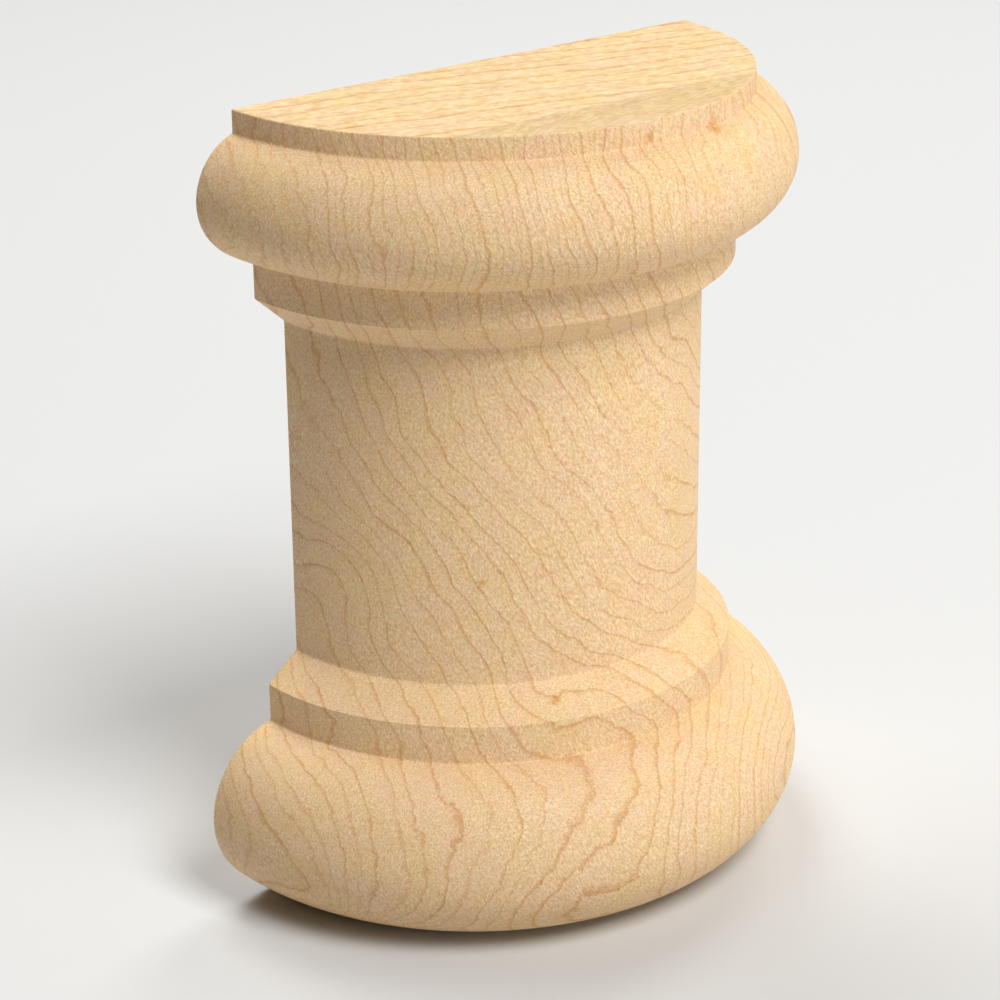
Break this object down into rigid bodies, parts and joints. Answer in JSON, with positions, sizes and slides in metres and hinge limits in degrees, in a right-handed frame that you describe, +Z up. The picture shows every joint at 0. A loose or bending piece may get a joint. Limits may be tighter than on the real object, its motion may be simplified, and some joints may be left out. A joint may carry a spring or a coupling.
{
  "type": "half spindle",
  "caption": "Short turned wooden column split down its axis: a half-round bead, shaft and base bead with a flat back.",
  "frame": {"origin": "under the middle of the piece's box, level with the flat underside that it stands on", "axes": "+Z up along the turning axis, +Y out of the flat back, the rounded front faces -Y"},
  "size_m": [0.0888, 0.0444, 0.108],
  "materials": {
    "maple": "sanded smooth, no varnish or paint"
  },
  "bodies": {
    "root": {"half_spindle": "maple"}
  },
  "joints": []
}
